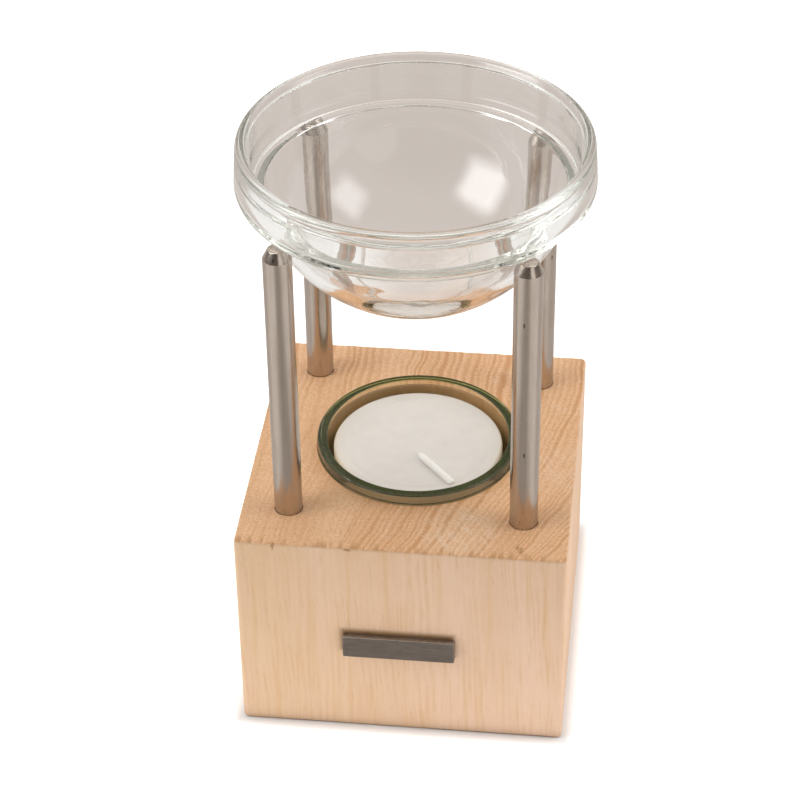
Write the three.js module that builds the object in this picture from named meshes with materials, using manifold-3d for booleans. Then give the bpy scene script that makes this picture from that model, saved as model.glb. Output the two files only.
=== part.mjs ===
// Essential oil burner: a wooden block carries four steel rods, which hold a glass dish over a tealight.
// Millimetres, +Z up, front towards -Y. The origin lies on the table under the middle of the rods.

import * as THREE from 'three';
import { mergeVertices } from 'three/addons/utils/BufferGeometryUtils.js';
import Module from 'manifold-3d';

const wasm = await Module();
wasm.setup();

// Wooden block
const BLOCK_WIDTH = 70;
const BLOCK_DEPTH = 73;
const BLOCK_HEIGHT = 50;
const BLOCK_SETBACK = 1.25; // the rods stand this far behind the middle of the block
const BLOCK_CORNER = 1.2; // rounding of the upright edges
const BLOCK_EDGE = 0.8; // easing round the top and the bottom

// Steel rods, glued into blind sockets
const ROD_SPACING = 50;
const ROD_RADIUS = 3;
const ROD_EXPOSED = 65.5;
const ROD_BURIED = 20;
const ROD_TIP_RADIUS = 1.9;
const ROD_TIP_LENGTH = 2.2;
const ROD_FOOT_CHAMFER = 0.5;
const ROD_CLEARANCE = 0.1;

// Tealight glass, standing loose in a bore
const CUP_RADIUS = 21.2;
const CUP_WALL = 2.1;
const CUP_FLOOR = 3;
const CUP_PROUD = 2.9; // height of the rim above the wood
const CUP_RIM_ROUND = 0.7;
const CUP_FOOT_ROUND = 2;
const CUP_INNER_ROUND = 1;
const BORE_DEPTH = 17;
const BORE_CLEARANCE = 0.3;
const BORE_CHAMFER = 0.4;

// Wax refill with its wick and the tin foot that holds the wick
const WAX_RADIUS = 18.5;
const WAX_HEIGHT = 14;
const WAX_EDGE_ROUND = 0.6;
const WAX_FOOT_ROUND = 1.2; // clears the rounded corner inside the glass
const WICK_RADIUS = 0.9;
const SUSTAINER_RADIUS = 6.5;
const SUSTAINER_SHEET = 0.4;
const SUSTAINER_NECK_HEIGHT = 4;
const SUSTAINER_NECK_BORE = 1.2;
const CAST_GAP = 0.3; // gap between the wax and what is cast into it

// Glass bowl: a round body below a wider stacking band, with a rounded bead on top.
// Its heights are counted from its foot.
const BOWL_BOTTOM = 92;
const BODY_RADIUS = 34.1;
const BODY_DEPTH = 34.6; // the body is a little deeper than a half ball
const BODY_CENTRE = 32.7;
const BODY_TOP = 23.5;
const BOWL_WALL = 2;
const BOWL_FLOOR = 2.6;
const FOOT_ROUND = 0.6;
const SHOULDER_RADIUS = 3;
const BAND_BOTTOM = 23.9; // underside of the band, which rests on the rods
const BAND_RADIUS = 37.1;
const BAND_TOP = 32.4;
const BAND_TOP_RADIUS = 36.75;
const BEAD_RADIUS = 1.2;
const BEAD_CENTRE = 35.4;
const BEAD_HEIGHT = 34.2;
const LEDGE_HEIGHT = 25.2;
const LEDGE_RADIUS = 33.2; // foot of the band's inner wall, at the outside of the ledge
const LEDGE_ROUND = 0.8;

// Cast plate on the front face, held by two pins on its back
const PLATE_WIDTH = 24;
const PLATE_HEIGHT = 5.5;
const PLATE_THICKNESS = 1.5;
const PLATE_BEVEL = 0.3;
const PLATE_CORNER = 0.4;
const PLATE_X = -0.3;
const PLATE_Z = 23.9;
const PIN_SPACING = 12.7;
const PIN_RADIUS = 0.75;
const PIN_LENGTH = 4;
const PIN_CLEARANCE = 0.3;

// Fineness of round faces
const FINE_SEGMENTS = 64;
const ROD_SEGMENTS = 32;
const SMALL_SEGMENTS = 24;
const PIN_SEGMENTS = 12;

// Levels that follow from the sizes above
const FRONT_FACE = -BLOCK_DEPTH / 2 - BLOCK_SETBACK;
const BORE_FLOOR = BLOCK_HEIGHT - BORE_DEPTH;
const BORE_RADIUS = CUP_RADIUS + BORE_CLEARANCE;
const WAX_BOTTOM = BORE_FLOOR + CUP_FLOOR;
const CUT_OVERSHOOT = 1; // cutters reach this far past the face they open

const point = (x, y) => new THREE.Vector2(x, y);

// Points of an arc in a profile, angles in degrees, both ends included
function arc(centreX, centreY, radius, fromDegrees, toDegrees, steps) {
  const points = [];
  for (let step = 0; step <= steps; step += 1) {
    const angle = THREE.MathUtils.degToRad(fromDegrees + ((toDegrees - fromDegrees) * step) / steps);
    points.push(point(centreX + radius * Math.cos(angle), centreY + radius * Math.sin(angle)));
  }
  return points;
}

// Body of revolution about Z: profile points hold radius and height
function revolve(profile, segments) {
  const geometry = new THREE.LatheGeometry(profile, segments);
  geometry.rotateX(Math.PI / 2);
  return geometry;
}

function cylinder(radius, bottom, top, segments) {
  const profile = [point(0, bottom), point(radius, bottom), point(radius, top), point(0, top)];
  return revolve(profile, segments);
}

// Rectangle with rounded corners, centred on its own origin
function roundedRectangle(width, height, corner) {
  const right = width / 2 - corner;
  const top = height / 2 - corner;
  const shape = new THREE.Shape();
  shape.absarc(right, top, corner, 0, Math.PI / 2);
  shape.absarc(-right, top, corner, Math.PI / 2, Math.PI);
  shape.absarc(-right, -top, corner, Math.PI, Math.PI * 1.5);
  shape.absarc(right, -top, corner, Math.PI * 1.5, Math.PI * 2);
  return shape;
}

// Slab from 0 to its thickness, eased all round by a bevel that stays inside the outline
function easedSlab(shape, thickness, bevel, steps) {
  const geometry = new THREE.ExtrudeGeometry(shape, {
    depth: thickness - 2 * bevel,
    bevelThickness: bevel,
    bevelSize: bevel,
    bevelOffset: -bevel,
    bevelSegments: steps,
    curveSegments: 3,
  });
  geometry.translate(0, 0, bevel);
  return geometry;
}

function toSolid(geometry) {
  const bare = geometry.clone();
  bare.deleteAttribute('normal');
  bare.deleteAttribute('uv');
  const merged = mergeVertices(bare, 1e-4);
  return new wasm.Manifold(new wasm.Mesh({
    numProp: 3,
    vertProperties: new Float32Array(merged.attributes.position.array),
    triVerts: new Uint32Array(merged.index.array),
  }));
}

function toGeometry(solid) {
  const mesh = solid.getMesh();
  const geometry = new THREE.BufferGeometry();
  geometry.setAttribute('position', new THREE.BufferAttribute(mesh.vertProperties, 3));
  geometry.setIndex(new THREE.BufferAttribute(mesh.triVerts, 1));
  geometry.computeVertexNormals();
  return geometry;
}

function cut(geometry, cutters) {
  let solid = toSolid(geometry);
  for (const cutter of cutters) {
    solid = solid.subtract(toSolid(cutter));
  }
  return toGeometry(solid);
}

function join(geometry, additions) {
  let solid = toSolid(geometry);
  for (const addition of additions) {
    solid = solid.add(toSolid(addition));
  }
  return toGeometry(solid);
}

const rodPlaces = [
  { name: 'rod_front_left', x: -ROD_SPACING / 2, y: -ROD_SPACING / 2 },
  { name: 'rod_front_right', x: ROD_SPACING / 2, y: -ROD_SPACING / 2 },
  { name: 'rod_back_left', x: -ROD_SPACING / 2, y: ROD_SPACING / 2 },
  { name: 'rod_back_right', x: ROD_SPACING / 2, y: ROD_SPACING / 2 },
];

const pinOffsets = [-PIN_SPACING / 2, PIN_SPACING / 2];

// Round pin that runs backwards into the block from the front face
function platePin(radius, length, overshoot, offset) {
  const pin = cylinder(radius, -length, overshoot, PIN_SEGMENTS);
  pin.rotateX(Math.PI / 2);
  pin.translate(PLATE_X + offset, FRONT_FACE, PLATE_Z);
  return pin;
}

// Block with the tealight bore, the rod sockets and the pin holes
function buildBlock() {
  const outline = roundedRectangle(BLOCK_WIDTH, BLOCK_DEPTH, BLOCK_CORNER);
  const body = easedSlab(outline, BLOCK_HEIGHT, BLOCK_EDGE, 2);
  body.translate(0, -BLOCK_SETBACK, 0);

  const mouth = BORE_RADIUS + BORE_CHAMFER;
  const bore = revolve([
    point(0, BORE_FLOOR),
    point(BORE_RADIUS, BORE_FLOOR),
    point(BORE_RADIUS, BLOCK_HEIGHT - BORE_CHAMFER),
    point(mouth, BLOCK_HEIGHT),
    point(mouth, BLOCK_HEIGHT + CUT_OVERSHOOT),
    point(0, BLOCK_HEIGHT + CUT_OVERSHOOT),
  ], FINE_SEGMENTS);

  const sockets = rodPlaces.map((place) => {
    const bottom = BLOCK_HEIGHT - ROD_BURIED;
    const socket = cylinder(ROD_RADIUS + ROD_CLEARANCE, bottom, BLOCK_HEIGHT + CUT_OVERSHOOT, ROD_SEGMENTS);
    socket.translate(place.x, place.y, 0);
    return socket;
  });

  const holeDepth = PIN_LENGTH + PIN_CLEARANCE;
  const holes = pinOffsets.map((x) => platePin(PIN_RADIUS + PIN_CLEARANCE, holeDepth, CUT_OVERSHOOT, x));
  return cut(body, [bore, ...sockets, ...holes]);
}

// Rod with a steep chamfer on top and a small one on the buried end
function buildRod() {
  const bottom = BLOCK_HEIGHT - ROD_BURIED;
  const top = BLOCK_HEIGHT + ROD_EXPOSED;
  return revolve([
    point(0, bottom),
    point(ROD_RADIUS - ROD_FOOT_CHAMFER, bottom),
    point(ROD_RADIUS, bottom + ROD_FOOT_CHAMFER),
    point(ROD_RADIUS, top - ROD_TIP_LENGTH),
    point(ROD_TIP_RADIUS, top),
    point(0, top),
  ], ROD_SEGMENTS);
}

// Thick cup with a rounded foot and a fire-polished rim
function buildTealightGlass() {
  const inner = CUP_RADIUS - CUP_WALL;
  const rimCentre = BLOCK_HEIGHT + CUP_PROUD - CUP_RIM_ROUND;
  const floor = BORE_FLOOR + CUP_FLOOR;
  return revolve([
    point(0, BORE_FLOOR),
    ...arc(CUP_RADIUS - CUP_FOOT_ROUND, BORE_FLOOR + CUP_FOOT_ROUND, CUP_FOOT_ROUND, -90, 0, 4),
    ...arc(CUP_RADIUS - CUP_RIM_ROUND, rimCentre, CUP_RIM_ROUND, 0, 90, 3),
    ...arc(inner + CUP_RIM_ROUND, rimCentre, CUP_RIM_ROUND, 90, 180, 3),
    point(inner, floor + CUP_INNER_ROUND),
    point(inner - CUP_INNER_ROUND, floor),
    point(0, floor),
  ], FINE_SEGMENTS);
}

// Part of the body's outline between two heights, moved inwards by an inset
function bodyOutline(inset, fromHeight, toHeight, steps) {
  const depth = BODY_DEPTH - inset;
  const fromAngle = Math.asin((fromHeight - BODY_CENTRE) / depth);
  const toAngle = Math.asin((toHeight - BODY_CENTRE) / depth);
  const points = [];
  for (let step = 0; step <= steps; step += 1) {
    const angle = fromAngle + ((toAngle - fromAngle) * step) / steps;
    points.push(point((BODY_RADIUS - inset) * Math.cos(angle), BODY_CENTRE + depth * Math.sin(angle)));
  }
  return points;
}

// Bowl: foot, round body, shoulder, band and bead outside; band wall, ledge and round well inside
function buildBowl() {
  const outside = bodyOutline(0, FOOT_ROUND, BODY_TOP, 10);
  const well = bodyOutline(BOWL_WALL, LEDGE_HEIGHT - LEDGE_ROUND / 2, BOWL_FLOOR, 9);
  const shoulderX = BAND_RADIUS - SHOULDER_RADIUS;
  const shoulderY = BAND_BOTTOM + SHOULDER_RADIUS;
  const bowl = revolve([
    point(0, 0),
    point(outside[0].x - FOOT_ROUND, 0),
    ...outside,
    ...arc(shoulderX, shoulderY, SHOULDER_RADIUS, -90, 0, 5),
    point(BAND_TOP_RADIUS, BAND_TOP),
    ...arc(BEAD_CENTRE, BEAD_HEIGHT, BEAD_RADIUS, -60, 180, 8),
    ...arc(LEDGE_RADIUS - LEDGE_ROUND, LEDGE_HEIGHT + LEDGE_ROUND, LEDGE_ROUND, 0, -90, 2),
    point(well[0].x + LEDGE_ROUND / 2, LEDGE_HEIGHT),
    ...well,
    point(0, BOWL_FLOOR),
  ], FINE_SEGMENTS);
  bowl.translate(0, 0, BOWL_BOTTOM);
  return bowl;
}

// The wick leans forward through the wax, bends over and lies on it towards the front right
const wickPath = new THREE.CatmullRomCurve3([
  new THREE.Vector3(0, 0, WAX_BOTTOM + SUSTAINER_SHEET),
  new THREE.Vector3(0, 0, WAX_BOTTOM + SUSTAINER_NECK_HEIGHT + 1),
  new THREE.Vector3(0.1, -1.8, BLOCK_HEIGHT - 4),
  new THREE.Vector3(0.6, -3.8, BLOCK_HEIGHT + 0.3),
  new THREE.Vector3(2.4, -6.2, BLOCK_HEIGHT + 1.4),
  new THREE.Vector3(5.6, -10, BLOCK_HEIGHT + 1.2),
  new THREE.Vector3(8.9, -13.8, BLOCK_HEIGHT + 1.2),
]);
const WICK_STEPS = 18;
const WICK_SIDES = 8;

function wickTube(radius) {
  const section = new THREE.Shape(arc(0, 0, radius, 0, 360 - 360 / WICK_SIDES, WICK_SIDES - 1));
  return new THREE.ExtrudeGeometry(section, { steps: WICK_STEPS, extrudePath: wickPath });
}

// Tin foot: a flat disc with a short neck crimped round the wick
function sustainerProfile(gap) {
  const neck = SUSTAINER_NECK_BORE + SUSTAINER_SHEET;
  return [
    point(SUSTAINER_NECK_BORE, 0),
    point(SUSTAINER_RADIUS + gap, 0),
    point(SUSTAINER_RADIUS + gap, SUSTAINER_SHEET + gap),
    point(neck + gap, SUSTAINER_SHEET + gap),
    point(neck + gap, SUSTAINER_NECK_HEIGHT + gap),
  ];
}

function buildSustainer() {
  const profile = sustainerProfile(0);
  profile.push(point(SUSTAINER_NECK_BORE, SUSTAINER_NECK_HEIGHT));
  profile.push(profile[0].clone());
  const sustainer = revolve(profile, SMALL_SEGMENTS);
  sustainer.translate(0, 0, WAX_BOTTOM);
  return sustainer;
}

// Wax disc with a softened upper edge, cast round the wick and its foot
function buildWax() {
  const top = WAX_BOTTOM + WAX_HEIGHT;
  const body = revolve([
    point(0, WAX_BOTTOM),
    ...arc(WAX_RADIUS - WAX_FOOT_ROUND, WAX_BOTTOM + WAX_FOOT_ROUND, WAX_FOOT_ROUND, -90, 0, 2),
    ...arc(WAX_RADIUS - WAX_EDGE_ROUND, top - WAX_EDGE_ROUND, WAX_EDGE_ROUND, 0, 90, 3),
    point(0, top),
  ], FINE_SEGMENTS);

  const profile = sustainerProfile(CAST_GAP);
  profile[0] = point(SUSTAINER_RADIUS + CAST_GAP, -CUT_OVERSHOOT);
  profile.unshift(point(0, -CUT_OVERSHOOT));
  profile.push(point(0, SUSTAINER_NECK_HEIGHT + CAST_GAP));
  const footCutter = revolve(profile, SMALL_SEGMENTS);
  footCutter.translate(0, 0, WAX_BOTTOM);
  return cut(body, [footCutter, wickTube(WICK_RADIUS + CAST_GAP)]);
}

// Plate with eased edges and two pins cast on its back
function buildPlate() {
  const outline = roundedRectangle(PLATE_WIDTH, PLATE_HEIGHT, PLATE_CORNER);
  const face = easedSlab(outline, PLATE_THICKNESS, PLATE_BEVEL, 1);
  face.rotateX(Math.PI / 2);
  face.translate(PLATE_X, FRONT_FACE, PLATE_Z);
  const rootDepth = PLATE_THICKNESS / 2;
  return join(face, pinOffsets.map((x) => platePin(PIN_RADIUS, PIN_LENGTH, rootDepth, x)));
}

const finishes = {
  wood: { color: 0xdeb588, roughness: 0.62, metalness: 0 },
  steel: { color: 0xa0968a, roughness: 0.35, metalness: 1 },
  bowl: { color: 0xe6eae8, roughness: 0.03, metalness: 0, transparent: true, opacity: 0.35 },
  greenGlass: { color: 0x8da07a, roughness: 0.05, metalness: 0, transparent: true, opacity: 0.5 },
  wax: { color: 0xe6e0d6, roughness: 0.45, metalness: 0 },
  wick: { color: 0xf1ece2, roughness: 0.85, metalness: 0 },
  tin: { color: 0xb9b7b2, roughness: 0.4, metalness: 1 },
  plate: { color: 0x6b645d, roughness: 0.5, metalness: 1 },
};

const burner = new THREE.Group();

function addPiece(name, geometry, finish) {
  const piece = new THREE.Mesh(geometry, new THREE.MeshStandardMaterial(finishes[finish]));
  piece.name = name;
  burner.add(piece);
  return piece;
}

addPiece('wood_block', buildBlock(), 'wood');
for (const place of rodPlaces) {
  const rod = addPiece(place.name, buildRod(), 'steel');
  rod.position.set(place.x, place.y, 0);
}
addPiece('glass_bowl', buildBowl(), 'bowl');
addPiece('tealight_glass', buildTealightGlass(), 'greenGlass');
addPiece('tealight_wax', buildWax(), 'wax');
addPiece('wick', wickTube(WICK_RADIUS), 'wick');
addPiece('wick_sustainer', buildSustainer(), 'tin');
addPiece('front_plate', buildPlate(), 'plate');

export default burner;
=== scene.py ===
"""Looks of an essential oil burner.

A wooden block carries four steel rods, which hold a glass bowl over a tealight that stands in a glass.
Sizes in this script are millimetres, +Z up and the front towards -Y, as in the solids that the frame holds.
"""

import math

import bmesh
import bpy
from mathutils import Matrix, Vector, noise


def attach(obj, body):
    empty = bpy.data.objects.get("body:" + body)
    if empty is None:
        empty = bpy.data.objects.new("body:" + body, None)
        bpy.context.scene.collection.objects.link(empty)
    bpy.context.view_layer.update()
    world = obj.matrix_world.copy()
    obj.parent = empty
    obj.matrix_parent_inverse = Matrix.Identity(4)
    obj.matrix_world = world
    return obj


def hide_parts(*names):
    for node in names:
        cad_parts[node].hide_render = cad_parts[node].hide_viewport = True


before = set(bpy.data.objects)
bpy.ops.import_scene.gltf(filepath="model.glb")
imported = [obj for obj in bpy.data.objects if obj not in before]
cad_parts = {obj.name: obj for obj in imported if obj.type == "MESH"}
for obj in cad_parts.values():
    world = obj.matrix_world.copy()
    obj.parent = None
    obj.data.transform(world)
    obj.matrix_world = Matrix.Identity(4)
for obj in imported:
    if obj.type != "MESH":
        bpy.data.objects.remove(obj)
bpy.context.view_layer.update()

MM = 0.001

# Wooden block. Its bore and the tealight glass are drawn 0.65 to 0.8 mm wider in radius than in the solids.
BLOCK_HALF_WIDTH = 35.0
BLOCK_FRONT = -37.75
BLOCK_BACK = 35.25
BLOCK_TOP = 50.0
BLOCK_CORNER = 1.2
BLOCK_EDGE = 0.8
BLOCK_EDGE_LIMIT = 2.0
BLOCK_SPACING = 0.55  # between the points of its outline
BLOCK_NICKS = [(-26.6, 0.7, 0.75), (-10.9, 0.5, 0.5), (21.4, 0.4, 0.3)]  # place on the front edge, width, depth
BORE_RADIUS = 22.15
BORE_FLOOR = 33.0
BORE_CHAMFER = 0.15
SOCKET_RADIUS = 3.1
SOCKET_FLOOR = 30.0

# Grain of the wood
RING_WIDTH = 1.6
RING_LEAN = 0.05
RING_BOW = 0.003
RING_BOW_START = 30.0
RING_FAN = 0.02
SAW_ANGLE = 59.0
SAW_PATCHES = [  # place, reach, reach of the core, strength
    ((12.0, -30.0, 50.0), 12.0, 3.0, 1.0),
    ((31.0, -6.0, 50.0), 14.0, 2.0, 0.7),
]

# Steel rods
ROD_PLACES = {
    "rod_front_left": (-25.0, -25.0),
    "rod_front_right": (25.0, -25.0),
    "rod_back_left": (-25.0, 25.0),
    "rod_back_right": (25.0, 25.0),
}
ROD_RADIUS = 3.0
ROD_TOP = 115.5
ROD_TIP_RADIUS = 1.9
ROD_TIP_LENGTH = 2.2
ROD_TIP_ROUND = 0.22
ROD_SHOULDER_ROUND = 0.5
ROD_FOOT_CHAMFER = 0.5

# Glass bowl, heights counted from its foot
BOWL_BOTTOM = 92.0
BODY_RADIUS = 34.1
BODY_DEPTH = 34.6
BODY_CENTRE = 32.7
BODY_TOP = 23.5
BOWL_WALL = 2.0
BOWL_FLOOR = 2.6
FOOT_START = 0.75  # height at which the body's outline leaves the rounded foot
FOOT_INSET = 0.9
FOOT_REACH = 0.25
FOOT_ROUND = 1.1
FLOOR_START = 0.5  # height above the floor at which the inside's outline ends
FLOOR_INSET = 1.25
FLOOR_EASE = [(0.45, 0.12), (-0.4, 0.0)]  # points that ease the inside into its floor
SHOULDER_RADIUS = 3.0
BAND_BOTTOM = 23.9
BAND_RADIUS = 37.1
BAND_TOP = 32.4
BAND_TOP_RADIUS = 36.75
BAND_TOP_ROUND = 0.5
BAND_BULGE = 0.18
BAND_INSIDE = (33.7, 30.0)
BEAD_RADIUS = 1.2
BEAD_CENTRE = 35.4
BEAD_HEIGHT = 34.2
BEAD_FOOT = (36.0, 33.16)
LEDGE_HEIGHT = 25.2
LEDGE_RADIUS = 33.2
LEDGE_ROUND = 0.8
MOULD_WANDER = 0.05

# Tealight glass, wax and wick
CUP_RADIUS = 22.0
CUP_WALL = 2.1
CUP_FLOOR = 36.0
CUP_RIM = 52.4
CUP_FOOT_ROUND = 2.0
CUP_RIM_OUTER_ROUND = 0.45
CUP_RIM_INNER_ROUND = 0.35
CUP_FLOOR_ROUND = 1.0
CUP_GROOVE = 50.4
GROOVE_HALF = 0.22
GROOVE_DEPTH = 0.14
WAX_RADIUS = 18.5
WAX_TOP = 50.0
WAX_ROUND = 0.6
WAX_FOOT_ROUND = 1.2
WAX_RINGS = 60  # steps of its upper face
WAX_SINK = 0.05
WAX_DISH = 0.16
WAX_UNEVEN = 0.05
MOULD_RING_RADIUS = 15.9
MOULD_RING_WIDTH = 0.5
MOULD_RING_DEPTH = 0.10
DRAWN_HEIGHT = 0.2
DRAWN_REACH = 1.0
NECK_SPACE = (1.9, 40.3)  # radius and top of the space for the wick's foot, round its neck and its disc
DISC_SPACE = (6.8, 36.7)
WICK_WIDTH = 0.92
WICK_DEPTH = 0.5
WICK_SIDES = 40
WICK_STEPS = 26
WICK_TIP = 0.35
WICK_TIP_SHARE = 0.55
BRAID_STRANDS = 4
BRAID_PITCH = 4.2
BRAID_DEPTH = 0.04
WICK_PATH = [
    (0.0, 0.0, 36.4),
    (0.0, 0.0, 41.0),
    (0.0, -0.6, 45.6),
    (0.2, -2.4, 48.7),
    (1.2, -4.5, 49.65),
    (2.8, -6.7, 50.1),
    (5.6, -10.0, 50.15),
    (8.9, -13.8, 50.1),
]

# Cast plate
PLATE_X = -0.3
PLATE_Z = 23.9
PLATE_WIDTH = 24.0
PLATE_HEIGHT = 5.5
PLATE_THICKNESS = 1.5
PLATE_CORNER = 0.4
PLATE_BEVEL = 0.32
PLATE_BACK_EDGE = 0.12
PLATE_SHADE_SHIFT = (-0.3, 1.0)  # of the painted brown shade round the plate, to the right and up
PIN_SPACING = 12.7
PIN_RADIUS = 0.75
PIN_LENGTH = 4.0
PIN_ROOT = 0.4  # length of a pin inside the plate
PIN_HOLE_RADIUS = 1.05
PIN_HOLE_DEPTH = 4.3
PIN_SEGMENTS = 24

# Brown marks on the block: place, size
WOOD_MARKS = [
    ((-26.7, -37.6, 49.5), (0.4, 0.8, 1.2)),
    ((-10.9, -37.6, 49.6), (0.9, 0.35, 0.3)),
    ((25.2, -34.8, 50.0), (0.5, 1.2, 0.5)),
    ((24.4, -33.9, 50.0), (0.35, 0.8, 0.5)),
    # These two are painted shade on the wood just above the plate, at its pins
    ((-6.6, -37.7, 26.95), (0.65, 0.6, 0.5)),
    ((6.1, -37.7, 26.95), (0.65, 0.6, 0.5)),
]

# Camera of the photograph
CAMERA_TARGET = Vector((-3.852, -0.041, 61.302))
CAMERA_DISTANCE = 559.71
CAMERA_AZIMUTH = math.radians(6.857)
CAMERA_ELEVATION = math.radians(36.600)
CAMERA_ROLL = math.radians(-0.809)
CAMERA_LENS = 116.106
CAMERA_SENSOR = 36.0

# Studio, lengths in metres
FLOOR_REACH = 6.0
FLOOR_DROP = 0.00005
WINDOW_WAY = (0.5855, -0.749, 0.309)
OVERHEAD_WAY = (-0.09, 0.80, 0.59)  # what level faces mirror to the camera
LAMP_AIM = Vector((0.0, 0.0, 0.1))
SOFTBOXES = {
    "lamp_left": {
        "azimuth": -67.0,
        "elevation": 38.0,
        "distance": 0.8,
        "width": 0.7,
        "height": 0.58,
        "radiance": 4.6,
        "turn": 20.0,
        "feather": 0.3,
    },
    "lamp_right": {
        "azimuth": 86.0,
        "elevation": 42.0,
        "distance": 0.8,
        "width": 0.5,
        "height": 0.46,
        "radiance": 2.8,
        "turn": 0.0,
        "feather": 0.35,
    },
}
LOW_LAMP_WIDTH = 0.26
LOW_LAMP_DEPTH = 0.12
LOW_LAMP_RADIANCE = 0.98
LOW_LAMP_X = 0.03
LOW_LAMP_GAP = 0.0015  # to the block
LOW_LAMP_HEIGHT = 0.0002


# Profiles and meshes


def arc(centre_r, centre_z, radius, start, end, steps):
    """Points of an arc in a profile, angles in degrees, both ends included."""
    points = []
    for step in range(steps + 1):
        angle = math.radians(start + (end - start) * step / steps)
        points.append((centre_r + radius * math.cos(angle), centre_z + radius * math.sin(angle)))
    return points


def fillet(before, corner, after, radius, steps=5):
    """Points that round one corner of a profile."""
    a = (Vector(before) - Vector(corner)).normalized()
    b = (Vector(after) - Vector(corner)).normalized()
    half = a.angle(b) / 2
    reach = radius / math.tan(half)
    middle = Vector(corner) + (a + b).normalized() * (radius / math.sin(half))
    first = Vector(corner) + a * reach - middle
    last = Vector(corner) + b * reach - middle
    sweep = first.angle_signed(last)
    points = []
    for step in range(steps + 1):
        turn = -sweep * step / steps
        cos, sin = math.cos(turn), math.sin(turn)
        points.append((middle.x + first.x * cos - first.y * sin, middle.y + first.x * sin + first.y * cos))
    return points


def softened(corners):
    """Profile from (radius, height, rounding) corners; those with no rounding stay sharp."""
    points = []
    for k, (r, z, rounding) in enumerate(corners):
        if rounding and 0 < k < len(corners) - 1:
            points += fillet(corners[k - 1][:2], (r, z), corners[k + 1][:2], rounding)
        else:
            points.append((r, z))
    return points


def lathe(profile, segments, place=(0.0, 0.0), shape=None):
    """Body of revolution; the profile starts and ends on the axis.

    shape, where given, takes a point's radius, height and angle and gives its new radius and height.
    """
    rings = profile[1:-1]
    verts = [(place[0], place[1], profile[0][1])]
    for radius, height in rings:
        for k in range(segments):
            angle = 2 * math.pi * k / segments
            r, z = shape(radius, height, angle) if shape else (radius, height)
            verts.append((place[0] + r * math.cos(angle), place[1] + r * math.sin(angle), z))
    top = len(verts)
    verts.append((place[0], place[1], profile[-1][1]))
    faces = []
    last = len(rings) - 1

    def index(ring, k):
        return 1 + ring * segments + k % segments

    for k in range(segments):
        faces.append((0, index(0, k + 1), index(0, k)))
        faces.append((top, index(last, k), index(last, k + 1)))
        for ring in range(last):
            faces.append((index(ring, k), index(ring, k + 1), index(ring + 1, k + 1), index(ring + 1, k)))
    return verts, faces


def taken_apart(work):
    """Points and faces of a bmesh, which is freed."""
    work.verts.index_update()
    verts = [tuple(v.co) for v in work.verts]
    faces = [tuple(v.index for v in face.verts) for face in work.faces]
    work.free()
    return verts, faces


def add_piece(name, verts, faces, material, body, node, sharp):
    """Piece of the burner, in place of one CAD node."""
    mesh = bpy.data.meshes.new(name)
    mesh.from_pydata([(x * MM, y * MM, z * MM) for x, y, z in verts], [], faces)
    work = bmesh.new()
    work.from_mesh(mesh)
    bmesh.ops.recalc_face_normals(work, faces=work.faces)
    work.to_mesh(mesh)
    work.free()
    mesh.shade_smooth()
    mesh.set_sharp_from_angle(angle=math.radians(sharp))
    mesh.materials.append(material)
    piece = bpy.data.objects.new(name, mesh)
    bpy.context.scene.collection.objects.link(piece)
    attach(piece, body)
    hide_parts(node)


# Node trees


class Graph:
    """Short forms for the nodes of one material."""

    def __init__(self, tree):
        self.tree = tree
        tree.nodes.clear()

    def node(self, kind, inputs=None, **settings):
        made = self.tree.nodes.new("ShaderNode" + kind)
        for key, value in settings.items():
            setattr(made, key, value)
        for key, value in (inputs or {}).items():
            self.feed(made.inputs[key], value)
        return made

    def feed(self, socket, value):
        if isinstance(value, bpy.types.NodeSocket):
            self.tree.links.new(value, socket)
        else:
            socket.default_value = value

    def math(self, operation, a, b=0.0, clamp=False):
        return self.node("Math", {0: a, 1: b}, operation=operation, use_clamp=clamp).outputs[0]

    def vector(self, operation, a, b=(0.0, 0.0, 0.0)):
        return self.node("VectorMath", {0: a, 1: b}, operation=operation).outputs[0]

    def distance(self, a, b):
        return self.node("VectorMath", {0: a, 1: b}, operation="DISTANCE").outputs["Value"]

    def noise(self, vector, scale, detail=2.0, roughness=0.5):
        inputs = {"Vector": vector, "Scale": scale, "Detail": detail, "Roughness": roughness}
        return self.node("TexNoise", inputs).outputs["Fac"]

    def spread(self, value, low, high, to_low=0.0, to_high=1.0):
        """Smooth step between two values."""
        inputs = {"Value": value, "From Min": low, "From Max": high, "To Min": to_low, "To Max": to_high}
        return self.node("MapRange", inputs, interpolation_type="SMOOTHSTEP").outputs["Result"]

    def mix(self, share, a, b, blend="MIX"):
        made = self.node("Mix", data_type="RGBA", blend_type=blend)
        self.feed(made.inputs["Factor"], share)
        self.feed(made.inputs[6], a)
        self.feed(made.inputs[7], b)
        return made.outputs[2]

    def bump(self, height, distance, strength):
        inputs = {"Height": height, "Distance": distance, "Strength": strength}
        return self.node("Bump", inputs).outputs["Normal"]

    def upward(self):
        """Height of the face's normal: 1 where it looks up, 0 on a wall."""
        return self.node("SeparateXYZ", {0: self.node("NewGeometry").outputs["True Normal"]}).outputs["Z"]

    def place(self):
        """Place in millimetres, in the object's own frame."""
        coordinates = self.node("TexCoord").outputs["Object"]
        return self.node("VectorMath", {0: coordinates, "Scale": 1 / MM}, operation="SCALE").outputs[0]

    def stretched(self, vector, x, y, z):
        return self.vector("MULTIPLY", vector, (x, y, z))


def colour(red, green, blue):
    return (red, green, blue, 1.0)


def new_material(name):
    material = bpy.data.materials.new(name)
    material.use_nodes = True
    return material, Graph(material.node_tree)


def finish_material(graph, shader, volume=None):
    inputs = {"Surface": shader}
    if volume is not None:
        inputs["Volume"] = volume
    graph.node("OutputMaterial", inputs)


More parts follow.
